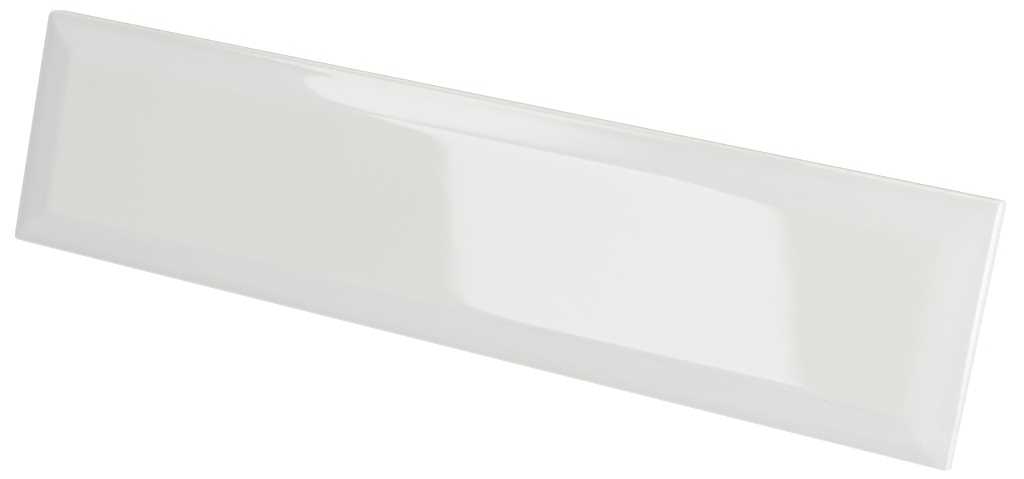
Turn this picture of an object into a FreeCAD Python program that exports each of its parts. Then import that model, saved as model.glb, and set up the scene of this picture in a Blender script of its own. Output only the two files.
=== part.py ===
"""Bevelled wall tile: one dust-pressed, glazed and fired slab with a flat field, a sloping
bevel on all four sides, glaze-softened edges and a keyed back.

Frame: X along the length, Y across the width, +Z out of the glazed face.
The origin is the centre of the back plane, so the tile lies on its back on Z = 0.
All sizes are in millimetres.
"""

import FreeCAD, Part
import os

# Outline of the tile: a 12 by 3 inch module, less a grout joint of 1.6
LENGTH = 303.2
WIDTH = 74.6
THICKNESS = 9.0
CORNER_RADIUS = 1.6

# Bevel: its width in plan, and how far it falls from the flat field to the rim
BEVEL_WIDTH = 12.5
BEVEL_DROP = 3.0

# Radii that the glaze leaves: along the field's creases and the mitres, and along the rim
FIELD_RADIUS = 18.0
RIM_RADIUS = 1.5

# Back: a chamfered arris, and drafted channels between ribs that key into the adhesive bed
BACK_CHAMFER = 0.6
BACK_BORDER = 6.5
CHANNEL_WIDTH = 5.0
CHANNEL_DEPTH = 0.8
CHANNEL_DRAFT = 0.6
RIB_WIDTH = 3.0
BAYS = 3
BAY_GAP = 6.0

ORIGIN = FreeCAD.Vector(0, 0, 0)
UP = FreeCAD.Vector(0, 0, 1)
QUARTER_TURN = 90
CLOSE = 1e-4


def blank():
    """The pressed slab, a plain block as thick as the flat field."""
    corner = FreeCAD.Vector(-LENGTH / 2, -WIDTH / 2, 0)
    return Part.makeBox(LENGTH, WIDTH, THICKNESS, corner)


def bevel_wedge(reach):
    """The prism that a bevel takes off a +Y side lying at Y = reach, longer than the tile."""
    inner = reach - BEVEL_WIDTH
    outer = reach + BEVEL_WIDTH
    section = [
        FreeCAD.Vector(-LENGTH, inner, THICKNESS),
        FreeCAD.Vector(-LENGTH, outer, THICKNESS - 2 * BEVEL_DROP),
        FreeCAD.Vector(-LENGTH, outer, THICKNESS),
    ]
    face = Part.Face(Part.makePolygon(section + section[:1]))
    return face.extrude(FreeCAD.Vector(2 * LENGTH, 0, 0))


def bevelled(slab):
    """The slab with a bevel on all four sides, mitred where two bevels meet."""
    for quarter, reach in enumerate((WIDTH / 2, LENGTH / 2, WIDTH / 2, LENGTH / 2)):
        wedge = bevel_wedge(reach)
        wedge.rotate(ORIGIN, UP, quarter * QUARTER_TURN)
        slab = slab.cut(wedge)
    return slab


def heights(edge):
    """The heights of an edge's ends, lowest first."""
    return sorted(vertex.Point.z for vertex in edge.Vertexes)


def is_plumb(edge):
    """True for an upright edge, at a corner of the outline."""
    ends = [vertex.Point for vertex in edge.Vertexes]
    return (ends[0] - ends[1]).cross(UP).Length < CLOSE


def is_crease_or_mitre(edge):
    """True for the edges of the flat field and the mitres that run down from its corners."""
    return heights(edge)[-1] > THICKNESS - CLOSE


def is_on_side(edge):
    """True for an edge that lies on the tile's outline, seen from above."""
    middle = edge.CenterOfMass
    along_end = abs(middle.x) > LENGTH / 2 - CORNER_RADIUS
    along_side = abs(middle.y) > WIDTH / 2 - CORNER_RADIUS
    return along_end or along_side


def softened(slab):
    """Rounds the corners, then the creases and mitres, then the rim that runs round below them."""
    slab = slab.makeFillet(CORNER_RADIUS, [e for e in slab.Edges if is_plumb(e)])
    slab = slab.makeFillet(FIELD_RADIUS, [e for e in slab.Edges if is_crease_or_mitre(e)])
    rim = [e for e in slab.Edges if is_on_side(e) and heights(e)[0] > CLOSE]
    return slab.makeFillet(RIM_RADIUS, rim)


def chamfered_back(slab):
    """Takes the sharp arris off the back, all the way round."""
    arris = [e for e in slab.Edges if heights(e)[-1] < CLOSE]
    return slab.makeChamfer(BACK_CHAMFER, arris)


def channel(length):
    """The cutter of one channel along X: a drafted groove with round ends, mouth down on Z = 0."""
    mouth = CHANNEL_WIDTH / 2
    floor = mouth - CHANNEL_DRAFT
    half_run = length / 2 - mouth
    section = [
        FreeCAD.Vector(-half_run, -mouth, 0),
        FreeCAD.Vector(-half_run, mouth, 0),
        FreeCAD.Vector(-half_run, floor, CHANNEL_DEPTH),
        FreeCAD.Vector(-half_run, -floor, CHANNEL_DEPTH),
    ]
    face = Part.Face(Part.makePolygon(section + section[:1]))
    groove = face.extrude(FreeCAD.Vector(2 * half_run, 0, 0))
    ends = []
    for x in (-half_run, half_run):
        ends.append(Part.makeCone(mouth, floor, CHANNEL_DEPTH, FreeCAD.Vector(x, 0, 0)))
    return groove.fuse(ends).removeSplitter()


def channels():
    """The channels of the back: as many pairs as fit inside the border, in bays along the length."""
    pitch = CHANNEL_WIDTH + RIB_WIDTH
    pairs = int((WIDTH - 2 * BACK_BORDER + RIB_WIDTH) // (2 * pitch))
    bay = (LENGTH - 2 * BACK_BORDER - (BAYS - 1) * BAY_GAP) / BAYS
    cutter = channel(bay)
    cutters = []
    for row in range(-pairs, pairs):
        for column in range(BAYS):
            along = (column - (BAYS - 1) / 2) * (bay + BAY_GAP)
            across = (row + 0.5) * pitch
            cutters.append(cutter.translated(FreeCAD.Vector(along, across, 0)))
    return cutters


def tile():
    """The finished tile, one solid."""
    return chamfered_back(softened(bevelled(blank()))).cut(channels())


def main():
    os.makedirs("parts", exist_ok=True)
    finished = tile().Solids[0]
    print("tile", "valid" if finished.isValid() else "not valid", round(finished.Volume, 2))
    finished.exportStep("parts/tile.step")


main()
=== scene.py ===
"""A glazed, bevelled wall tile lying on its back in a plain studio.

The packed solid gives the tile's outline and thickness. This add-on models what the fired tile
looks like over it: the glaze with its soft creases and rolled rim, the line where the glaze
stops on the edges, the bare clay below that line, and the channels of the back.
Everything is in metres, in the solid's own frame: X along the tile, Y across it, Z out of the glaze.
"""

import copy
import math

import bmesh
import bpy
import numpy as np
from bpy.props import FloatProperty, FloatVectorProperty, IntProperty, PointerProperty
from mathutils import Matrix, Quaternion, Vector


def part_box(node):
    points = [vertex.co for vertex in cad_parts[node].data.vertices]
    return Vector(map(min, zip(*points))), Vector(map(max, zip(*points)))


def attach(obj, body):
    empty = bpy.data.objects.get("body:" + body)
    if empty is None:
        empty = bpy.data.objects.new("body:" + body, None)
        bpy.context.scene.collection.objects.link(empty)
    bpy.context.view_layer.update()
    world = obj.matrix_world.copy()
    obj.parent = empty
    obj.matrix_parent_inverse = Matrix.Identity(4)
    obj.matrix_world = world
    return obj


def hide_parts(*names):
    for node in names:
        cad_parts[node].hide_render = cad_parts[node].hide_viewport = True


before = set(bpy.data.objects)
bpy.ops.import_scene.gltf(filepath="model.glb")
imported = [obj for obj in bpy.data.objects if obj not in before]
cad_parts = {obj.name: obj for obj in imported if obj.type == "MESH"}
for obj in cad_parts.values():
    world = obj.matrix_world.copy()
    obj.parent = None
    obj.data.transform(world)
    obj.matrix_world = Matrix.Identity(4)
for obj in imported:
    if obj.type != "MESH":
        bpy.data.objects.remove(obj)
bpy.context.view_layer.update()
_, TILE_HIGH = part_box("tile")

bl_info = {
    "name": "Bevelled wall tile",
    "version": (1, 0, 0),
    "blender": (4, 5, 0),
    "location": "3D View > Sidebar > Wall tile",
    "description": "Models a glazed wall tile over its packed solid, on a plain studio floor",
    "category": "Add Mesh",
}

MM = 0.001

# Width of the camera's sensor, in millimetres
SENSOR_WIDTH = 36.0

# Slots of the tile's mesh
GLAZE, CLAY = 0, 1


# Settings


def size_property(label, millimetres, description):
    """A length that the user can change, given in millimetres and kept in metres."""
    return FloatProperty(
        name=label, description=description, default=millimetres * MM, min=0.0, precision=5, unit="LENGTH"
    )


def colour_property(label, colour, description):
    """A linear colour that the user can change."""
    return FloatVectorProperty(
        name=label, description=description, default=colour, min=0.0, max=1.0, size=3, subtype="COLOR"
    )


def place_property(label, millimetres, description):
    """A point that the user can change, given in millimetres and kept in metres."""
    metres = [value * MM for value in millimetres]
    return FloatVectorProperty(
        name=label, description=description, default=metres, size=3, subtype="TRANSLATION", unit="LENGTH"
    )


def turn_property(label, degrees, description):
    """An angle that the user can change, given in degrees and kept in radians."""
    return FloatProperty(
        name=label, description=description, default=math.radians(degrees), subtype="ANGLE", unit="ROTATION"
    )


class FaceSettings(bpy.types.PropertyGroup):
    """Relief of the glazed face."""

    corner_radius: size_property("Corner radius", 1.1, "Radius of the outline's corners")
    worn_radius: size_property("Worn corner radius", 2.2, "Radius of the worn upper left corner")
    crisp_radius: size_property("Crisp corner radius", 0.4, "Radius of the crisp lower right corner")
    bevel_width: size_property("Bevel width", 12.1, "Width in plan of the bevels along the sides")
    end_bevel_width: size_property("End bevel width", 13.0, "Width in plan of the bevels at the ends")
    bevel_drop: size_property("Bevel drop", 2.9, "Fall from the flat field to the rim")
    crease_softness: size_property("Crease softness", 0.75, "How gently the field turns into the bevel")
    mitre_softness: size_property("Mitre softness", 1.7, "How gently two bevels meet at a corner")
    slack: FloatProperty(
        name="Bevel slack", description="Share by which the upper bevel's left is flatter", default=0.145
    )
    bead: size_property("Glaze bead", 0.065, "Height of the low bead of glaze that gathers above the rim")
    bead_reach: size_property("Bead reach", 2.7, "Width in plan that the bead takes up inside the outline")
    bead_softness: size_property("Bead softness", 1.0, "How gently the bead rises from the bevel")
    droop: size_property("Bevel droop", 0.05, "How far the bevel bends down before it meets the rim")
    droop_reach: size_property("Droop reach", 2.4, "Width in plan of the part of the bevel that bends down")
    rim_reach: size_property("Rim reach", 1.1, "Width in plan of the rounded rim")
    rim_fall: size_property("Rim fall", 1.0, "Height of the rounded rim")
    ripple: size_property("Glaze ripple", 0.004, "Height of the long, low waves that the glaze settles in")


class EdgeSettings(bpy.types.PropertyGroup):
    """Where the glaze stops on the upright edges."""

    line_on_sides: size_property("Glaze line, sides", 4.2, "Height of the glaze's lower line on the sides")
    line_on_ends: size_property("Glaze line, ends", 0.42, "Height of the glaze's lower line on the ends")
    line_turn: size_property("Glaze line turn", 2.2, "Length of a side in which the line rises from the end")
    line_wander: size_property("Glaze line wander", 0.14, "How far the line strays up and down")
    flare: size_property("Edge flare", 0.05, "How far the left and lower edges stand out past the rim")
    flare_right: size_property("Right flare", 0.40, "How far the right edge's foot stands out past the rim")
    flare_upper: size_property("Upper flare", 0.20, "How far the upper edge's foot stands out past the rim")
    glaze_thickness: size_property("Glaze thickness", 0.05, "How far the glaze stands out from the clay")
    arris: size_property("Back arris", 0.35, "Chamfer between the edges and the back")


class BackSettings(bpy.types.PropertyGroup):
    """Channels pressed into the back."""

    border: size_property("Border", 6.5, "Least flat border round the channels")
    channel_width: size_property("Channel width", 5.0, "Width of a channel at its mouth")
    channel_depth: size_property("Channel depth", 0.8, "Depth of a channel")
    channel_draft: size_property("Channel draft", 0.6, "How far a channel's wall leans in")
    channel_lip: size_property("Channel lip", 0.12, "Softness of a channel's lip and of its floor's border")
    rib_width: size_property("Rib width", 3.0, "Width of the rib between two channels")
    bay_gap: size_property("Bay gap", 6.0, "Flat gap between two bays of channels")
    bays: IntProperty(name="Bays", description="Bays of channels along the tile", default=3, min=1)


class FinishSettings(bpy.types.PropertyGroup):
    """Colours, patterns and gloss of the glaze and the clay."""

    glaze: colour_property("Glaze", (0.659, 0.656, 0.624), "Colour of the glaze on the flat field")
    # Bevel glaze: the glaze's colour with a painted cool tint, standing in for the cool light on the bevels
    bevel_glaze: colour_property("Bevel glaze", (0.660, 0.657, 0.635), "Colour of the glaze on the bevels")
    # Crease glaze: the paler colour along the creases and the mitres
    thin_glaze: colour_property("Thin glaze", (0.690, 0.697, 0.690), "Colour of the glaze where it is thin")
    # Edge glaze: greyer glaze on the upright edges, darkened further as painted shade
    edge_glaze: colour_property("Edge glaze", (0.550, 0.570, 0.570), "Colour of the glaze on the edges")
    speck: colour_property("Speck", (0.20, 0.18, 0.16), "Colour of the dark specks in the glaze")
    clay: colour_property("Clay", (0.54, 0.48, 0.415), "Colour of the bare fired clay")
    dust: colour_property("Kiln dust", (0.78, 0.75, 0.71), "Colour of the pale kiln dust on the back")
    glaze_roughness: FloatProperty(
        name="Glaze roughness", description="Least roughness of the glaze", default=0.034, min=0.0, max=1.0
    )
    cloud_size: size_property("Cloud size", 40.0, "Width of the faint clouds in the glaze")
    mottle_size: size_property("Mottle size", 1.8, "Width of the fine mottles in the glaze")
    haze_size: size_property("Haze size", 22.0, "Width of the patches in which the glaze's gloss changes")
    streak_size: size_property("Streak size", 3.5, "Width of the faint streaks that run along the bevels")
    streak_height: size_property("Streak height", 0.006, "Height of the streaks on the bevels")
    peel_size: size_property("Peel size", 4.0, "Width of the bumps of the glaze's orange peel")
    peel_height: size_property("Peel height", 0.006, "Height of the bumps of the glaze's orange peel")
    sand_size: size_property("Sand size", 0.5, "Width of the grains in the clay")
    sand_height: size_property("Sand height", 0.06, "Height of the grains in the clay")
    pit_spacing: size_property("Pit spacing", 1.4, "Distance between the small pits in the clay")
    clay_cloud_size: size_property("Clay cloud size", 18.0, "Width of the darker clouds in the clay")
    dust_size: size_property("Dust size", 9.0, "Width of the patches of kiln dust")


class StageSettings(bpy.types.PropertyGroup):
    """Floor, room and camera."""

    floor_size: size_property("Floor size", 9000.0, "Side of the square floor")
    floor: colour_property("Floor", (0.30, 0.30, 0.30), "Colour of the floor")
    glow: FloatProperty(name="Floor glow", description="Light that the floor gives by itself", default=0.80)
    room: FloatProperty(name="Room light", description="Strength of the light from all round", default=0.34)
    overhead: FloatProperty(name="Overhead light", description="Strength added high up", default=0.665)
    horizon: FloatProperty(name="Horizon light", description="Strength added low down", default=0.65)
    camera_place: place_property("Camera", (232.10, 68.68, 579.10), "Place of the camera")
    camera_aim: place_property("Camera aim", (13.90, -2.53, 0.0), "Point on the floor that it looks at")
    camera_roll: turn_property("Camera roll", -96.530, "Turn of the camera about its own axis")
    camera_lens: FloatProperty(
        name="Lens", description="Focal length on a sensor 36 mm wide", default=74.773, unit="CAMERA"
    )


def light_settings(label, place, aim, roll, size, watts, tint):
    """The settings of one soft rectangular light, as a group of its own."""
    fields = {
        "place": place_property("Place", place, f"Place of the {label}"),
        "aim": place_property("Aim", aim, f"Point that the {label} faces"),
        "roll": turn_property("Roll", roll, f"Turn of the {label} about its own axis"),
        "width": size_property("Width", size[0], f"Width of the {label}"),
        "length": size_property("Length", size[1], f"Length of the {label}"),
        "power": FloatProperty(
            name="Power", description=f"Power of the {label}", default=watts, min=0.0, unit="POWER"
        ),
        "tint": colour_property("Tint", tint, f"Colour of the {label}"),
    }
    name = "".join(word.title() for word in label.split()) + "Settings"
    return type(name, (bpy.types.PropertyGroup,), {"__annotations__": fields, "__doc__": f"The {label}."})


# The strip shows in the flat field, the panel in the upper bevel, and the side and back lights in the rim.
# The front light fills the lower bevel.
StripLightSettings = light_settings(
    "strip light",
    place=(-458.4, -20.2, 1470.0),
    aim=(164.6, 438.8, 16.0),
    roll=71.9,
    size=(360.0, 740.0),
    watts=2.40,
    tint=(0.83, 0.92, 1.0),
)
PanelLightSettings = light_settings(
    "panel light",
    place=(-760.8, 646.9, 1551.2),
    aim=(-90.9, 1140.4, -12.2),
    roll=71.9,
    size=(780.0, 721.0),
    watts=4.61,
    tint=(0.90, 1.0, 0.965),
)
SideLightSettings = light_settings(
    "side light",
    place=(1200.0, 132.0, 720.0),
    aim=(0.0, 132.0, 720.0),
    roll=0.0,
    size=(586.0, 1400.0),
    watts=7.15,
    tint=(0.98, 0.99, 1.0),
)
BackLightSettings = light_settings(
    "back light",
    place=(350.0, 1500.0, 470.0),
    aim=(350.0, 0.0, 470.0),
    roll=0.0,
    size=(1200.0, 900.0),
    watts=4.6,
    tint=(1.0, 1.0, 1.0),
)
FrontLightSettings = light_settings(
    "front light",
    place=(500.0, -900.0, 500.0),
    aim=(50.0, 0.0, 0.0),
    roll=0.0,
    size=(500.0, 500.0),
    watts=1.2,
    tint=(0.93, 0.97, 1.0),
)


# Shader maths


class Wire:
    """A shader socket that takes part in Python expressions."""

    def __init__(self, finish, socket):
        self.finish = finish
        self.socket = socket

    def _math(self, operation, *values):
        inputs = dict(enumerate(values))
        return self.finish.node("ShaderNodeMath", {"operation": operation}, inputs)

    def __add__(self, other):
        return self._math("ADD", self, other)

    def __radd__(self, other):
        return self._math("ADD", other, self)

    def __sub__(self, other):
        return self._math("SUBTRACT", self, other)

    def __rsub__(self, other):
        return self._math("SUBTRACT", other, self)

    def __mul__(self, other):
        return self._math("MULTIPLY", self, other)

    def __rmul__(self, other):
        return self._math("MULTIPLY", other, self)

    def __truediv__(self, other):
        return self._math("DIVIDE", self, other)

    def __rtruediv__(self, other):
        return self._math("DIVIDE", other, self)

    def __abs__(self):
        return self._math("ABSOLUTE", self)

    def above(self, other):
        """The larger of two values."""
        return self._math("MAXIMUM", self, other)

    def between(self, low, high):
        """0 up to low, 1 from high on, and a smooth rise from one to the other."""
        settings = {"interpolation_type": "SMOOTHSTEP"}
        inputs = {"Value": self, "From Min": low, "From Max": high}
        return self.finish.node("ShaderNodeMapRange", settings, inputs)

    def line(self, width):
        """1 where the value is 0, and half as much at a width to either side."""
        share = self / width
        return 1 / (1 + share * share)


class Finish:
    """A node tree that is being drawn up, for a material or for the room."""

    def __init__(self, tree):
        self.tree = tree
        tree.nodes.clear()

    def node(self, kind, settings=None, inputs=None, output=0):
        """Adds a node. Its settings are set first, then its sockets get values or links."""
        made = self.tree.nodes.new(kind)
        for name, value in (settings or {}).items():
            setattr(made, name, value)
        for name, value in (inputs or {}).items():
            if isinstance(value, Wire):
                self.tree.links.new(value.socket, made.inputs[name])
            else:
                made.inputs[name].default_value = value
        return Wire(self, made.outputs[output]) if made.outputs else made

    def place(self):
        """The point on the surface, in the tile's own frame."""
        return self.node("ShaderNodeTexCoord", output="Object")

    def split(self, vector):
        """The three parts of a vector."""
        parts = self.node("ShaderNodeSeparateXYZ", inputs={"Vector": vector})
        return [Wire(self, socket) for socket in parts.socket.node.outputs]

    def stretched(self, place, scale):
        """A point with each of its parts multiplied by its own number."""
        return self.node("ShaderNodeVectorMath", {"operation": "MULTIPLY"}, {0: place, 1: scale})

    def noise(self, place, grain, detail=2.0, roughness=0.5):
        """Cloudy noise from 0 to 1, with clouds about as wide as grain."""
        inputs = {"Vector": place, "Scale": 1 / grain, "Detail": detail, "Roughness": roughness}
        return self.node("ShaderNodeTexNoise", inputs=inputs)

    def mixed(self, share, first, second):
        """The first colour where share is 0, and the second where it is 1."""
        settings = {"data_type": "RGBA"}
        return self.node("ShaderNodeMix", settings, {0: share, 6: first, 7: second}, output=2)

    def tinted(self, colour, strength):
        """A colour multiplied by a value."""
        settings = {"operation": "SCALE"}
        return self.node("ShaderNodeVectorMath", settings, {0: colour, "Scale": strength})

    def bumped(self, height, distance, normal=None):
        """A normal that follows a height from 0 to 1 over a real distance."""
        inputs = {"Height": height, "Distance": distance, "Strength": 1.0}
        if normal:
            inputs["Normal"] = normal
        return self.node("ShaderNodeBump", inputs=inputs)

    def surface(self, inputs):
        """Ends a material in one principled shader."""
        shader = self.node("ShaderNodeBsdfPrincipled", inputs=inputs)
        self.node("ShaderNodeOutputMaterial", inputs={"Surface": shader})


def new_material(name):
    """An empty material, and the finish that draws up its nodes."""
    material = bpy.data.materials.new(name)
    material.use_nodes = True
    return material, Finish(material.node_tree)


def opaque(colour):
    """A colour property as the four numbers of a colour socket."""
    return (*colour, 1.0)


# Finishes

# Specks in the glaze: place along and across the tile and radius, in millimetres, and darkness from 0 to 1
SPECKS = (
    (134.0, 32.8, 0.28, 0.16),
    (141.4, 4.2, 0.28, 0.24),
    (142.8, 3.7, 0.30, 0.22),
    (115.6, -25.6, 0.28, 0.26),
    (95.8, -3.0, 0.24, 0.16),
    (93.0, -17.8, 0.22, 0.16),
    (94.8, -19.5, 0.28, 0.20),
    (93.5, -20.8, 0.26, 0.20),
    (94.5, -21.8, 0.22, 0.16),
    (97.5, -19.5, 0.22, 0.10),
    (-125.0, -34.8, 0.28, 0.22),
    (-129.7, 16.4, 2.40, 0.03),
)

# Share of a speck's radius that is dark all through
SPECK_CORE = 0.4

# Parts of the glaze: where each starts and where it is whole, past the crease, in height and along the tile
BEVEL_PART = (-1.0 * MM, 2.0 * MM)
FACE_PART = (4.2 * MM, 5.2 * MM)
RIGHT_PART = (-145 * MM, -20 * MM)

# Paler glaze along the creases and the mitres: how pale it is, and the width of the line
CREASE_PALENESS = 0.28
CREASE_LINE = 1.5 * MM
CREASE_LINE_INSET = 0.75 * MM
MITRE_PALENESS = 0.50
MITRE_LINE = 0.8 * MM
MITRE_START = (0.0, 4.0 * MM)

# The upper right mitre is less pale than the others
UPPER_RIGHT_ALONG = (90 * MM, 130 * MM)
UPPER_RIGHT_ACROSS = (0.0, 20 * MM)
UPPER_RIGHT_LESS_PALE = 0.35

# Tone of the glaze: what it starts from, what each pattern adds, and its rise in a metre of length, which is
# painted light growing towards the right end
PLAIN_TONE = 0.972
CLOUD_TONE = 0.030
MOTTLE_TONE = 0.026
STREAK_TONE = 0.050
LIGHT_RISE = 0.14

# Streaks run along a bevel, and are this many times as long as they are wide
STREAK_LENGTH = 10

# Painted shade: the bevel is darker where it rolls over towards the rim, most of all at the left: distances
# inside the outline, and tones
OUTER_SHADE_START = 5.0 * MM
OUTER_SHADE_WHOLE = 1.5 * MM
OUTER_SHADE_TONE = 0.02
OUTER_SHADE_TONE_LEFT = 0.03

# Painted shade: a fine dark line beside the lower crease: its width, distance from the crease, tone and
# stretch
HAIRLINE = 0.3 * MM
HAIRLINE_OUT = 0.4 * MM
HAIRLINE_SHADE_TONE = 0.035
HAIRLINE_START = (-20 * MM, 20 * MM)
HAIRLINE_END = (130 * MM, 139 * MM)

# Painted light: the right end and the lower bevel are a little paler, where more light falls: places along
# and across the tile, and tones
PALE_END_ALONG = (80 * MM, 115 * MM)
PALE_END_ACROSS = (-25 * MM, 20 * MM)
END_LIGHT_TONE = 0.012
PALE_BEVEL_ALONG = (-110 * MM, -70 * MM)
PALE_BEVEL_CREASE = (-28 * MM, -25 * MM)
PALE_BEVEL_RIM = (-35 * MM, -31 * MM)
BEVEL_LIGHT_TONE = 0.018

# Painted shade: the right rim is darker towards its lower end, where its highlight fades: distances inside
# the outline, places across, and tone
DARK_RIM_START = 1.8 * MM
DARK_RIM_WHOLE = 1.2 * MM
DARK_RIM_ACROSS = (-34 * MM, -2 * MM)
RIM_SHADE_TONE = 0.07

# Clay shows through the worn upper rim, and the clay colour there also darkens the rim as painted shade,
# most of all at the left: distances inside the rim, and shares
WORN_START = 0.40 * MM
WORN_WHOLE = 0.10 * MM
WORN_AND_SHADE_SHARE = 0.3
WORN_AND_SHADE_SHARE_LEFT = 0.5

# Gloss of the glaze: what its haze and the upright edges add to the roughness
HAZE_ROUGHNESS = 0.016
EDGE_ROUGHNESS = 0.30
GLAZE_IOR = 1.5


def specks_in(finish, place):
    """How dark the glaze's specks are at a point, from 0 to 1."""
    flat = finish.stretched(place, (1.0, 1.0, 0.0))
    dark = None
    for x, y, radius, darkness in SPECKS:
        centre = (x * MM, y * MM, 0.0)
        settings = {"operation": "DISTANCE"}
        away = finish.node("ShaderNodeVectorMath", settings, {0: flat, 1: centre}, output="Value")
        speck = (1 - away.between(SPECK_CORE * radius * MM, radius * MM)) * darkness
        dark = speck if dark is None else dark.above(speck)
    return dark


class GlazePlace:
    """A point of the glaze, and which part of the tile it is on."""

    def __init__(self, finish, settings):
        face = settings.face
        self.point = finish.place()
        self.x, self.y, self.z = finish.split(self.point)
        self.past_end = abs(self.x) - (TILE_HIGH.x - face.end_bevel_width)
        self.past_side = abs(self.y) - (TILE_HIGH.y - face.bevel_width)
        self.past_crease = self.past_end.above(self.past_side)
        self.on_bevel = self.past_crease.between(*BEVEL_PART)
        self.on_face = self.z.between(*FACE_PART)
        self.on_left = 1 - self.x.between(*RIGHT_PART)
        along = (self.x + self.y) / STREAK_LENGTH
        run = finish.node("ShaderNodeCombineXYZ", inputs={"X": self.past_crease, "Y": along})
        self.streaks = finish.noise(run, settings.finish.streak_size)


def crease_paleness(place):
    """How thin the glaze is, from 0 to 1."""
    crease = CREASE_PALENESS * (place.past_crease + CREASE_LINE_INSET).line(CREASE_LINE)
    upper_right = place.x.between(*UPPER_RIGHT_ALONG) * place.y.between(*UPPER_RIGHT_ACROSS)
    strength = MITRE_PALENESS - UPPER_RIGHT_LESS_PALE * upper_right
    mitre = place.past_crease.between(*MITRE_START) * (place.past_end - place.past_side).line(MITRE_LINE)
    return crease.above(strength * mitre)


def glaze_tone(finish, place, settings):
    """What the colour of the glaze is multiplied by."""
    face, looks = settings.face, settings.finish
    x, y = place.x, place.y
    clouds = finish.noise(place.point, looks.cloud_size, detail=3.0)
    mottle = finish.noise(place.point, looks.mottle_size, detail=3.0, roughness=0.6)
    # Painted light: the glaze is brighter towards the right end, where more light falls
    tone = PLAIN_TONE + CLOUD_TONE * clouds + MOTTLE_TONE * mottle + LIGHT_RISE * x
    tone = tone + STREAK_TONE * (place.streaks - 0.5) * place.on_bevel

    # Painted shade where the bevel rolls over towards the rim
    outer_bevel_shade = place.past_crease.between(face.bevel_width - OUTER_SHADE_START, face.bevel_width - OUTER_SHADE_WHOLE)
    tone = tone - outer_bevel_shade * (OUTER_SHADE_TONE + OUTER_SHADE_TONE_LEFT * place.on_left)

    # Painted shade in a fine line beside the lower crease
    crease_shade_line = (y + TILE_HIGH.y - face.bevel_width + HAIRLINE_OUT).line(HAIRLINE)
    stretch = x.between(*HAIRLINE_START) * (1 - x.between(*HAIRLINE_END))
    tone = tone - HAIRLINE_SHADE_TONE * stretch * crease_shade_line

    # Painted light on the right end and the lower bevel
    painted_end_light = x.between(*PALE_END_ALONG) * y.between(*PALE_END_ACROSS)
    painted_bevel_light = y.between(*PALE_BEVEL_RIM) * (1 - y.between(*PALE_BEVEL_CREASE))
    painted_bevel_light = painted_bevel_light * x.between(*PALE_BEVEL_ALONG)
    tone = tone + END_LIGHT_TONE * painted_end_light + BEVEL_LIGHT_TONE * painted_bevel_light

    # Painted shade on the right rim's lower end
    right_rim_shade = x.between(TILE_HIGH.x - DARK_RIM_START, TILE_HIGH.x - DARK_RIM_WHOLE) * place.on_face
    return tone - RIM_SHADE_TONE * right_rim_shade * (1 - y.between(*DARK_RIM_ACROSS))


def glaze_colour(finish, place, settings):
    """Off-white, paler where the glaze is thin, with worn spots on the upper rim and a few dark specks."""
    looks = settings.finish
    # Painted light: the bevels take a cooler colour for the cool light that falls on them
    colour = finish.mixed(place.on_bevel, opaque(looks.glaze), opaque(looks.bevel_glaze))
    colour = finish.mixed(crease_paleness(place), colour, opaque(looks.thin_glaze))
    # Greyer glaze on the upright edges, darkened further as painted shade
    colour = finish.mixed(1 - place.on_face, colour, opaque(looks.edge_glaze))
    # Clay colour on the worn upper rim: partly clay that shows through, partly painted shade
    upper_rim = TILE_HIGH.y - settings.edge.flare_upper
    worn = place.y.between(upper_rim - WORN_START, upper_rim - WORN_WHOLE)
    colour = finish.mixed(worn * (WORN_AND_SHADE_SHARE + WORN_AND_SHADE_SHARE_LEFT * place.on_left), colour, opaque(looks.clay))
    colour = finish.tinted(colour, glaze_tone(finish, place, settings))
    return finish.mixed(specks_in(finish, place.point), colour, opaque(looks.speck))


def glaze_material(settings):
    """Glossy glaze with a fine orange peel, streaky on the bevels and dull on the upright edges."""
    material, finish = new_material("fired_glaze")
    looks = settings.finish
    place = GlazePlace(finish, settings)
    haze = finish.noise(place.point, looks.haze_size)
    roughness = looks.glaze_roughness + HAZE_ROUGHNESS * haze + EDGE_ROUGHNESS * (1 - place.on_face)
    peel = finish.bumped(finish.noise(place.point, looks.peel_size, detail=0.5), looks.peel_height)
    normal = finish.bumped(place.streaks * place.on_bevel, looks.streak_height, peel)
    colour = glaze_colour(finish, place, settings)
    finish.surface({"Base Color": colour, "Roughness": roughness, "IOR": GLAZE_IOR, "Normal": normal})
    return material


# Tone of the clay: what it starts from, what its clouds and sand add, and the painted shade that a pit takes
# away
CLAY_TONE = 0.80
CLAY_CLOUD_TONE = 0.16
SAND_TONE = 0.24
PIT_SHADE = 0.22

# A pit's floor and lip, in pit spacings, and its depth in heights of the sand
PIT_SIZE = (0.08, 0.22)
PIT_DEPTH = 0.8

# Kiln dust: how much of it hides the clay, which noise it lies in, and the height that it stays below
DUST_SHARE = 0.55
DUST_NOISE = (0.45, 0.68)
DUST_TOP = (0.02 * MM, 0.2 * MM)
CLAY_ROUGHNESS = 0.86


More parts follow.
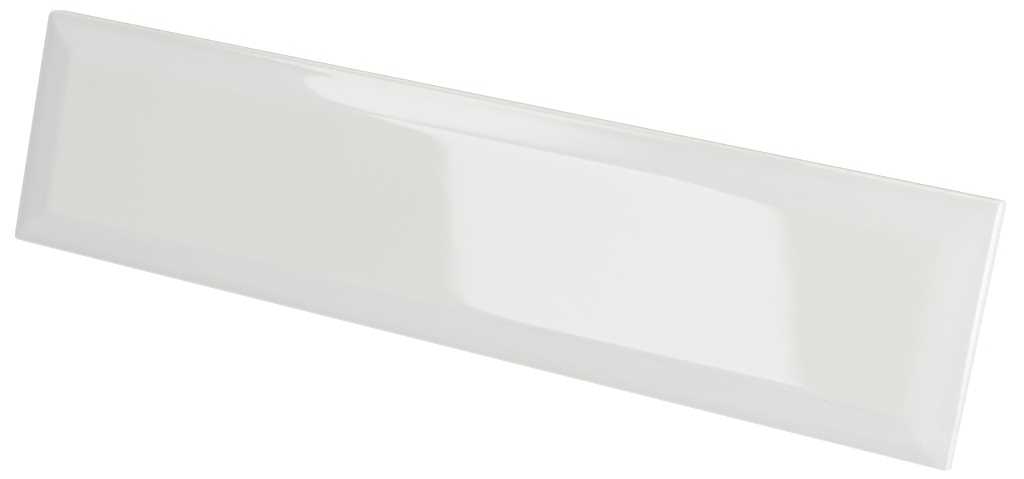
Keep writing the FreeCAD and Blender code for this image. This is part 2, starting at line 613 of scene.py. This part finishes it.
def clay_material(settings):
    """Porous beige clay, sandy and dull, with pale kiln dust on the ribs of the back."""
    material, finish = new_material("bare_clay")
    looks = settings.finish
    place = finish.place()
    _, _, z = finish.split(place)
    sand = finish.noise(place, looks.sand_size, detail=4.0, roughness=0.65)
    clouds = finish.noise(place, looks.clay_cloud_size, detail=3.0)
    cells = {"Vector": place, "Scale": 1 / looks.pit_spacing}
    pit = 1 - finish.node("ShaderNodeTexVoronoi", {"feature": "F1"}, cells).between(*PIT_SIZE)
    # Painted shade: each pit is darker
    tone = (CLAY_TONE + CLAY_CLOUD_TONE * clouds + SAND_TONE * sand) * (1 - PIT_SHADE * pit)
    dusty = finish.noise(place, looks.dust_size, detail=4.0, roughness=0.6)
    dust = dusty.between(*DUST_NOISE) * (1 - z.between(*DUST_TOP))
    colour = finish.mixed(DUST_SHARE * dust, finish.tinted(tuple(looks.clay), tone), opaque(looks.dust))
    normal = finish.bumped(sand - PIT_DEPTH * pit, looks.sand_height)
    finish.surface({"Base Color": colour, "Roughness": CLAY_ROUGHNESS, "Normal": normal})
    return material


# Faint clouds of the floor
FLOOR_CLOUD_SIZE = 350 * MM
FLOOR_CLOUD_TONE = 0.03
FLOOR_ROUGHNESS = 0.7


def floor_material(settings):
    """A plain pale floor that glows a little."""
    material, finish = new_material("studio_floor")
    tone = 1 - FLOOR_CLOUD_TONE / 2 + FLOOR_CLOUD_TONE * finish.noise(finish.place(), FLOOR_CLOUD_SIZE)
    colour = finish.tinted(tuple(settings.stage.floor), tone)
    glow = {"Emission Color": (1.0, 1.0, 1.0, 1.0), "Emission Strength": settings.stage.glow}
    finish.surface({"Base Color": colour, "Roughness": FLOOR_ROUGHNESS, **glow})
    return material


# Mesh of the tile

# Distances between the points of a loop, and between the loops on a bevel
POINT_SPACING = 1.5 * MM
LOOP_SPACING = 0.45 * MM

# Distances from a corner to the points of a loop that lie near it, in corner radii
NEAR_CORNER = np.array([0.0, 0.25, 0.5, 0.75, 1.0, 1.5, 2.1, 2.9, 3.9, 5.2])

# Flat grid of the field: how far inside the crease it ends, in crease softnesses
FIELD_CLEARANCE = 7

# Loops round the rim, and points on a channel's round end and along its side
RIM_LOOPS = 15
CHANNEL_END_POINTS = 13
CHANNEL_SIDE_POINTS = 8

# Swells that the glaze settles in: waves in a metre along and across the tile, and where each starts
SWELLS = ((31, 12, 0.3), (47, -21, 1.9), (83, 9, 4.1), (23, 51, 2.6), (61, 87, 5.2))

# The flatter stretch of the upper bevel: its start and end along the tile, and its start across it
SLACK_START = (-146 * MM, -118 * MM)
SLACK_END = (-60 * MM, 20 * MM)
SLACK_ACROSS = (10 * MM, 24 * MM)

# Waves in which the glaze's lower line wanders: height, turn in a metre and start
WANDER_WAVES = ((0.5, 290, 0.0), (0.35, 610, 1.3), (0.2, 1370, 0.4))

# Share of the wander that is left at the ends
END_WANDER = 0.15

# Lower lip of the glaze: how far in each loop lies, in glaze thicknesses, and how far above the line
GLAZE_LIP = ((0.0, 0.45 * MM), (0.0, 0.25 * MM), (0.25, 0.1 * MM), (0.7, 0.0))

# Loops of the clay below, as shares of the way from the glaze's line to the arris
CLAY_LOOPS = (0.02, 0.06, 0.3, 0.6, 0.9)

# Chamfered arris of the back: how far in and how high each loop lies, in arris widths
ARRIS_LOOPS = ((0.0, 1.0), (0.06, 0.86), (0.86, 0.06), (1.0, 0.0), (1.6, 0.0))


class MeshPlan:
    """The points and faces of one mesh, gathered loop by loop."""

    def __init__(self):
        self.points = []
        self.faces = []
        self.slots = []

    def add(self, points):
        """Adds points and gives back their numbers."""
        start = len(self.points)
        self.points.extend(points.tolist())
        return np.arange(start, len(self.points))

    def add_faces(self, faces, slot):
        """Adds faces that wear one slot's material."""
        self.faces.extend(faces)
        self.slots.extend([slot] * len(faces))

    def bridge(self, near, far, slot):
        """Joins two closed loops of as many points with a band of quads."""
        quads = np.stack([near, far, np.roll(far, -1), np.roll(near, -1)], axis=1)
        self.add_faces(quads.tolist(), slot)

    def built(self, name, materials):
        """The finished mesh, smooth all over, with what is still open filled by flat clay."""
        mesh = bpy.data.meshes.new(name)
        mesh.from_pydata(self.points, [], self.faces)
        mesh.polygons.foreach_set("material_index", self.slots)
        for material in materials:
            mesh.materials.append(material)
        sketch = bmesh.new()
        sketch.from_mesh(mesh)
        rims = [edge for edge in sketch.edges if edge.is_boundary]
        filled = bmesh.ops.triangle_fill(sketch, use_beauty=True, edges=rims, normal=(0, 0, -1))
        for item in filled["geom"]:
            if isinstance(item, bmesh.types.BMFace):
                item.material_index = CLAY
        bmesh.ops.recalc_face_normals(sketch, faces=sketch.faces)
        for face in sketch.faces:
            face.smooth = True
        sketch.to_mesh(mesh)
        sketch.free()
        return mesh


class Outline:
    """The tile's outline in plan. All its loops have as many points, so any two can be bridged."""

    def __init__(self, face):
        self.half = np.array([TILE_HIGH.x, TILE_HIGH.y])
        self.centre = np.zeros(2)
        self.face = face
        self.along, self.across = [self._stations(half) for half in self.half]

    def _stations(self, half):
        """A side's points, close together near the corners: each is a share of the half side and a shift."""
        near = self.face.corner_radius * NEAR_CORNER
        steps = math.ceil(2 * (half - near[-1]) / POINT_SPACING)
        middle = np.linspace(-1, 1, steps + 1)[1:-1]
        share = np.concatenate([np.full(len(near), -1.0), middle, np.full(len(near), 1.0)])
        shift = np.concatenate([near, -middle * near[-1], -near[::-1]])
        return share, shift

    def drawn_in(self, left, right, lower, upper):
        """The same outline with each of its sides moved inwards by its own distance."""
        inner = copy.copy(self)
        inner.half = self.half - np.array([left + right, lower + upper]) / 2
        inner.centre = self.centre + np.array([left - right, lower - upper]) / 2
        return inner

    def _lines(self, inset):
        """Places of the points along and across from the centre, at a distance inside the outline."""
        half = self.half - inset
        x = self.along[0] * half[0] + self.along[1]
        y = self.across[0] * half[1] + self.across[1]
        return x, y

    def grid(self, inset):
        """Points that fill the outline at a distance inside it, in rows across it."""
        x, y = self._lines(inset)
        return np.stack(np.meshgrid(x, y, indexing="ij"), axis=-1) + self.centre

    def loop(self, inset):
        """A loop at a distance inside the outline, anticlockwise from above."""
        face = self.face
        half = self.half - inset
        x, y = self._lines(inset)
        front = np.stack([x, np.full_like(x, -half[1])], axis=1)[:-1]
        right = np.stack([np.full_like(y, half[0]), y], axis=1)[:-1]
        square = np.concatenate([front, right, -front, -right])
        worn = (square[:, 0] < 0) & (square[:, 1] > 0)
        crisp = (square[:, 0] > 0) & (square[:, 1] < 0)
        radius = np.select([worn, crisp], [face.worn_radius, face.crisp_radius], face.corner_radius)
        radius = np.maximum(radius - inset, 0.0)
        return self.centre + self._rounded(square, half, radius[:, np.newaxis])

    @staticmethod
    def _rounded(square, half, radius):
        """Bends the corners of a square loop into arcs."""
        beyond = np.maximum(np.abs(square) - (half - radius), 0.0)
        reach = beyond.max(axis=1)
        share = np.divide(beyond.min(axis=1), reach, out=np.zeros_like(reach), where=reach > 0)
        turn = share * math.pi / 4
        short, long = reach * np.sin(turn), reach * np.cos(turn)
        wide = beyond[:, 0] > beyond[:, 1]
        arc = np.stack([np.where(wide, long, short), np.where(wide, short, long)], axis=1)
        return np.sign(square) * (np.minimum(np.abs(square), half - radius) + arc)


def smooth_maximum(first, second, softness):
    """The larger of two arrays, rounded off where they come close."""
    gap = np.abs(first - second)
    blend = np.where(gap < 2 * softness, (2 * softness - gap) ** 2 / (8 * softness), 0.0)
    return np.maximum(first, second) + blend


def glaze_ripple(plan, height):
    """The long, low waves of the settled glaze: a few crossing swells."""
    x, y = plan[:, 0], plan[:, 1]
    total = np.zeros(len(plan))
    for along, across, start in SWELLS:
        total += np.sin(2 * math.pi * (x * along + y * across) + start)
    return height * total / len(SWELLS)


def smooth_rise(values, low, high):
    """0 up to low, 1 from high on, and a smooth rise from one to the other."""
    share = np.clip((values - low) / (high - low), 0.0, 1.0)
    return share * share * (3 - 2 * share)


def upper_left(plan):
    """1 over the left half of the upper bevel, fading towards the corner, the field and the right."""
    x, y = plan[:, 0], plan[:, 1]
    along = smooth_rise(x, *SLACK_START) * (1 - smooth_rise(x, *SLACK_END))
    return along * smooth_rise(y, *SLACK_ACROSS)


def face_height(plan, face):
    """Height of the glazed face at points in plan, before its rim is rounded off."""
    width = face.bevel_width
    widths = np.array([face.end_bevel_width, width])
    past = (np.abs(plan) - np.array([TILE_HIGH.x, TILE_HIGH.y])) * width / widths + width
    out = smooth_maximum(past[:, 0], past[:, 1], face.mitre_softness)
    run = face.crease_softness * np.logaddexp(0.0, out / face.crease_softness)
    slope = face.bevel_drop / width * (1 - face.slack * upper_left(plan))
    bend = np.maximum(1 - (width - face.rim_reach - out) / face.droop_reach, 0.0)
    bead = (1 + np.tanh((out - width + face.bead_reach) / face.bead_softness)) / 2
    return TILE_HIGH.z - slope * run - face.droop * bend ** 3 + face.bead * bead


def glaze_line(plan, edge):
    """Height at which the glaze stops, round the outline: low on the ends, high on the sides."""
    x, y = plan[:, 0], plan[:, 1]
    rise = smooth_rise(TILE_HIGH.x - np.abs(x), 0.0, edge.line_turn)
    line = edge.line_on_ends + (edge.line_on_sides - edge.line_on_ends) * rise
    way = np.where(y > 0, x, -x) + 2 * y
    wander = sum(height * np.sin(way * turn + start) for height, turn, start in WANDER_WAVES)
    return line + edge.line_wander * (END_WANDER + (1 - END_WANDER) * rise) * wander


def raised(plan, height):
    """Points in plan with their height."""
    return np.column_stack([plan, np.broadcast_to(height, len(plan))])


def add_field(mesh, outline, inset, face):
    """The flat field as a grid, and the loop round its border."""
    grid = outline.grid(inset)
    plan = grid.reshape(-1, 2)
    height = face_height(plan, face) + glaze_ripple(plan, face.ripple)
    number = mesh.add(raised(plan, height)).reshape(grid.shape[:2])
    quads = np.stack([number[:-1, :-1], number[1:, :-1], number[1:, 1:], number[:-1, 1:]], axis=-1)
    mesh.add_faces(quads.reshape(-1, 4).tolist(), GLAZE)
    return np.concatenate([number[:-1, 0], number[-1, :-1], number[:0:-1, -1], number[0, :0:-1]])


def add_bevels(mesh, outline, border, inset, face):
    """Loops from the field's border over the creases and down the bevels, to where the rim starts."""
    steps = math.ceil((inset - face.rim_reach) / LOOP_SPACING)
    for step in np.linspace(inset, face.rim_reach, steps)[1:]:
        plan = outline.loop(step)
        height = face_height(plan, face) + glaze_ripple(plan, face.ripple)
        loop = mesh.add(raised(plan, height))
        mesh.bridge(border, loop, GLAZE)
        border = loop
    return border


def add_rim(mesh, outline, border, face):
    """The rounded rim, from the bevel over to the upright edge."""
    for turn in np.linspace(math.pi / 2, 0, RIM_LOOPS + 1)[1:]:
        plan = outline.loop(face.rim_reach * (1 - math.cos(turn)))
        fall = face.rim_fall * (1 - math.sin(turn))
        loop = mesh.add(raised(plan, face_height(plan, face) - fall))
        mesh.bridge(border, loop, GLAZE)
        border = loop
    return border


def add_edges(mesh, outline, rim, border, edge, rim_foot):
    """The upright edges, flaring from the rim to the foot: glaze down to its wandering line, then clay."""
    foot = outline.loop(0.0)
    line = glaze_line(foot, edge)

    def flared(inset, height):
        up = (height - edge.arris) / (rim_foot - edge.arris)
        return raised(foot + (rim.loop(inset) - foot) * up[:, np.newaxis], height)

    skin = edge.glaze_thickness
    for share, lift in GLAZE_LIP:
        loop = mesh.add(flared(share * skin, line + lift))
        mesh.bridge(border, loop, GLAZE)
        border = loop
    for share in CLAY_LOOPS:
        loop = mesh.add(flared(skin, line + (edge.arris - line) * share))
        mesh.bridge(border, loop, CLAY)
        border = loop
    for inset, height in ARRIS_LOOPS:
        loop = mesh.add(raised(outline.loop(inset * edge.arris), height * edge.arris))
        mesh.bridge(border, loop, CLAY)
        border = loop


def channel_loop(centre, half_run, half_width, height):
    """A loop round a channel with round ends, anticlockwise from above."""
    turns = np.linspace(-math.pi / 2, math.pi / 2, CHANNEL_END_POINTS)
    end = np.column_stack([half_run + half_width * np.cos(turns), half_width * np.sin(turns)])
    runs = np.linspace(half_run, -half_run, CHANNEL_SIDE_POINTS + 2)[1:-1]
    side = np.column_stack([runs, np.full(len(runs), half_width)])
    half = np.concatenate([end, side])
    return raised(np.concatenate([half, -half]) + centre, height)


def add_channels(mesh, back):
    """The channels of the back, each from its flat surround over a soft lip to its floor."""
    pitch = back.channel_width + back.rib_width
    pairs = int((2 * TILE_HIGH.y - 2 * back.border + back.rib_width) // (2 * pitch))
    bay = (2 * TILE_HIGH.x - 2 * back.border - (back.bays - 1) * back.bay_gap) / back.bays
    mouth = back.channel_width / 2
    half_run = bay / 2 - mouth
    depth, draft, soft = back.channel_depth, back.channel_draft, back.channel_lip
    # Half width and height of each loop, from the flat surround to the floor
    section = (
        (mouth + 3 * soft, 0.0),
        (mouth + soft, 0.0),
        (mouth - 0.1 * soft, 0.4 * soft),
        (mouth - 0.2 * draft, 0.2 * depth),
        (mouth - 0.85 * draft, 0.85 * depth),
        (mouth - draft - soft, depth - 0.2 * soft),
        (mouth - draft - 3 * soft, depth),
    )
    for row in range(-pairs, pairs):
        for column in range(back.bays):
            centre = ((column - (back.bays - 1) / 2) * (bay + back.bay_gap), (row + 0.5) * pitch)
            border = None
            for half_width, height in section:
                loop = mesh.add(channel_loop(centre, half_run, half_width, height))
                if border is not None:
                    mesh.bridge(border, loop, CLAY)
                border = loop
            mesh.add_faces([border[::-1].tolist()], CLAY)


class WALLTILE_OT_tile(bpy.types.Operator):
    """Model the fired tile over its packed solid"""

    bl_idname = "wall_tile.tile"
    bl_label = "Fired tile"

    def execute(self, context):
        settings = context.scene.wall_tile
        face, edge = settings.face, settings.edge
        mesh = MeshPlan()
        outline = Outline(face)
        rim = outline.drawn_in(edge.flare, edge.flare_right, edge.flare, edge.flare_upper)
        inset = face.end_bevel_width + FIELD_CLEARANCE * face.crease_softness
        border = add_field(mesh, rim, inset, face)
        border = add_bevels(mesh, rim, border, inset, face)
        border = add_rim(mesh, rim, border, face)
        rim_foot = TILE_HIGH.z - face.bevel_drop - face.rim_fall
        add_edges(mesh, outline, rim, border, edge, rim_foot)
        add_channels(mesh, settings.back)
        materials = [glaze_material(settings), clay_material(settings)]
        tile = bpy.data.objects.new("fired_tile", mesh.built("fired_tile", materials))
        context.scene.collection.objects.link(tile)
        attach(tile, "root")
        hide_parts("tile")
        return {"FINISHED"}


# Stage

# Sharp flag of the panel light: where it crosses the lower edge, how it leans, and its blur
LEFT_FLAG = 375.6 * MM
LEFT_FLAG_LEAN = 0.406
LEFT_FLAG_BLUR = 10 * MM

# Soft flag of the panel light: how far below the lower left corner it passes, how it leans, and its blur
LOW_FLAG = 251.6 * MM
LOW_FLAG_LEAN = 1.07
LOW_FLAG_BLUR = 130 * MM

# Soft sides of the strip light: where the right one starts at the lower edge, how it leans, and both blurs
STRIP_OPEN = 317.8 * MM
STRIP_LEAN = 0.0515
STRIP_RIGHT_BLUR = 28 * MM
STRIP_LEFT_BLUR = 20 * MM

# Heights of the room, from -1 below to 1 above, between which its overhead and horizon light come and go
OVERHEAD_RISE = (0.52, 0.90)
HORIZON_FALL = (0.25, 0.55)

# Nearest distance that the camera sees
CAMERA_NEAR = 10 * MM


def turned_to(place, aim, roll):
    """The rotation of a camera or light at a place that faces a point, turned about its own axis."""
    facing = (Vector(aim) - Vector(place)).to_track_quat("-Z", "Y")
    return facing @ Quaternion((0.0, 0.0, 1.0), roll)


def add_to_stage(context, name, data, place, rotation):
    """Links a light or camera into the scene, in its place."""
    thing = bpy.data.objects.new(name, data)
    thing.location = place
    thing.rotation_mode = "QUATERNION"
    thing.rotation_quaternion = rotation
    context.scene.collection.objects.link(thing)
    return thing


def panel_flags(along, up):
    """How open the panel is: a sharp flag slants along its left and a soft one cuts its lower right."""
    past_left = along + LEFT_FLAG_LEAN * up - LEFT_FLAG
    past_low = up - LOW_FLAG_LEAN * along + LOW_FLAG
    return past_left.between(0.0, LEFT_FLAG_BLUR) * past_low.between(-LOW_FLAG_BLUR, LOW_FLAG_BLUR)


def strip_flags(along, up):
    """How open the strip is: both its sides are soft, and the right one leans."""
    past_right = along - STRIP_LEAN * up - STRIP_OPEN
    return along.between(0.0, STRIP_LEFT_BLUR) * (1 - past_right.between(0.0, STRIP_RIGHT_BLUR))


def shade_light(light, opening):
    """Dims a light over its area by how open it is at a distance along its width and up its length."""
    light.use_nodes = True
    finish = Finish(light.node_tree)
    x, y, _ = finish.split(finish.node("ShaderNodeNewGeometry", output="Parametric"))
    lit = opening(x * light.size, y * light.size_y)
    colour = finish.mixed(lit, (0.0, 0.0, 0.0, 1.0), (1.0, 1.0, 1.0, 1.0))
    glow = finish.node("ShaderNodeEmission", inputs={"Color": colour, "Strength": 1.0})
    finish.node("ShaderNodeOutputLight", inputs={"Surface": glow})


def add_light(context, name, settings):
    """A soft rectangular light."""
    light = bpy.data.lights.new(name, "AREA")
    light.shape = "RECTANGLE"
    light.size = settings.width
    light.size_y = settings.length
    light.energy = settings.power
    light.color = settings.tint
    rotation = turned_to(settings.place, settings.aim, settings.roll)
    add_to_stage(context, name, light, settings.place, rotation)
    return light


def add_floor(context, settings):
    """The square floor that the tile lies on."""
    half = settings.stage.floor_size / 2
    mesh = bpy.data.meshes.new("floor")
    corners = [(-half, -half, 0.0), (half, -half, 0.0), (half, half, 0.0), (-half, half, 0.0)]
    mesh.from_pydata(corners, [], [(0, 1, 2, 3)])
    mesh.materials.append(floor_material(settings))
    floor = bpy.data.objects.new("floor", mesh)
    context.scene.collection.objects.link(floor)


def light_room(context, stage):
    """Light from all round, weakest half way up."""
    room = bpy.data.worlds.new("studio_room")
    room.use_nodes = True
    context.scene.world = room
    finish = Finish(room.node_tree)
    _, _, z = finish.split(finish.node("ShaderNodeTexCoord", output="Generated"))
    overhead = stage.overhead * z.between(*OVERHEAD_RISE)
    horizon = stage.horizon * (1 - z.between(*HORIZON_FALL))
    colour = finish.tinted((1.0, 1.0, 1.0), stage.room + overhead + horizon)
    light = finish.node("ShaderNodeBackground", inputs={"Color": colour})
    finish.node("ShaderNodeOutputWorld", inputs={"Surface": light})


def add_camera(context, stage):
    """The camera, at the photograph's viewing angle."""
    camera = bpy.data.cameras.new("camera")
    camera.sensor_width = SENSOR_WIDTH
    camera.sensor_fit = "HORIZONTAL"
    camera.lens = stage.camera_lens
    camera.clip_start = CAMERA_NEAR
    rotation = turned_to(stage.camera_place, stage.camera_aim, stage.camera_roll)
    context.scene.camera = add_to_stage(context, "camera", camera, stage.camera_place, rotation)


class WALLTILE_OT_stage(bpy.types.Operator):
    """Set the floor, the lights and the camera"""

    bl_idname = "wall_tile.stage"
    bl_label = "Studio stage"

    def execute(self, context):
        settings = context.scene.wall_tile
        add_floor(context, settings)
        light_room(context, settings.stage)
        shade_light(add_light(context, "strip_light", settings.strip), strip_flags)
        add_light(context, "side_light", settings.side)
        add_light(context, "back_light", settings.behind)
        add_light(context, "front_light", settings.front)
        shade_light(add_light(context, "panel_light", settings.panel), panel_flags)
        add_camera(context, settings.stage)
        context.scene.view_settings.view_transform = "Standard"
        return {"FINISHED"}


# Add-on


class TileSettings(bpy.types.PropertyGroup):
    """All that a user can change."""

    face: PointerProperty(name="Face", description="Relief of the glazed face", type=FaceSettings)
    edge: PointerProperty(name="Edges", description="Where the glaze stops", type=EdgeSettings)
    back: PointerProperty(name="Back", description="Channels of the back", type=BackSettings)
    finish: PointerProperty(name="Finish", description="Colours, patterns and gloss", type=FinishSettings)
    stage: PointerProperty(name="Stage", description="Floor, room and camera", type=StageSettings)
    strip: PointerProperty(name="Strip light", description="Seen in the flat field", type=StripLightSettings)
    panel: PointerProperty(name="Panel light", description="Seen in the top bevel", type=PanelLightSettings)
    side: PointerProperty(name="Side light", description="Seen in the right rim", type=SideLightSettings)
    behind: PointerProperty(name="Back light", description="Seen in the upper rim", type=BackLightSettings)
    front: PointerProperty(name="Front light", description="Fills the lower bevel", type=FrontLightSettings)


class WALLTILE_PT_sidebar(bpy.types.Panel):
    """Lists the tile's settings and operators in the sidebar"""

    bl_idname = "WALLTILE_PT_sidebar"
    bl_label = "Wall tile"
    bl_space_type = "VIEW_3D"
    bl_region_type = "UI"
    bl_category = "Wall tile"

    def draw(self, context):
        settings = context.scene.wall_tile
        for group in TileSettings.__annotations__:
            box = self.layout.box()
            box.label(text=settings.bl_rna.properties[group].name)
            values = getattr(settings, group)
            for name in type(values).__annotations__:
                box.prop(values, name)
        self.layout.operator(WALLTILE_OT_tile.bl_idname)
        self.layout.operator(WALLTILE_OT_stage.bl_idname)


CLASSES = (
    FaceSettings,
    EdgeSettings,
    BackSettings,
    FinishSettings,
    StageSettings,
    StripLightSettings,
    PanelLightSettings,
    SideLightSettings,
    BackLightSettings,
    FrontLightSettings,
    TileSettings,
    WALLTILE_OT_tile,
    WALLTILE_OT_stage,
    WALLTILE_PT_sidebar,
)


def register():
    """Makes the settings, operators and panel known to Blender."""
    for item in CLASSES:
        bpy.utils.register_class(item)
    bpy.types.Scene.wall_tile = PointerProperty(type=TileSettings)


def unregister():
    """Takes back what register made known."""
    del bpy.types.Scene.wall_tile
    for item in reversed(CLASSES):
        bpy.utils.unregister_class(item)


def main():
    """Builds the tile and its stage, and writes down how large the solid and the tile are."""
    register()
    bpy.ops.wall_tile.tile()
    bpy.ops.wall_tile.stage()


if __name__ == "__main__":
    main()
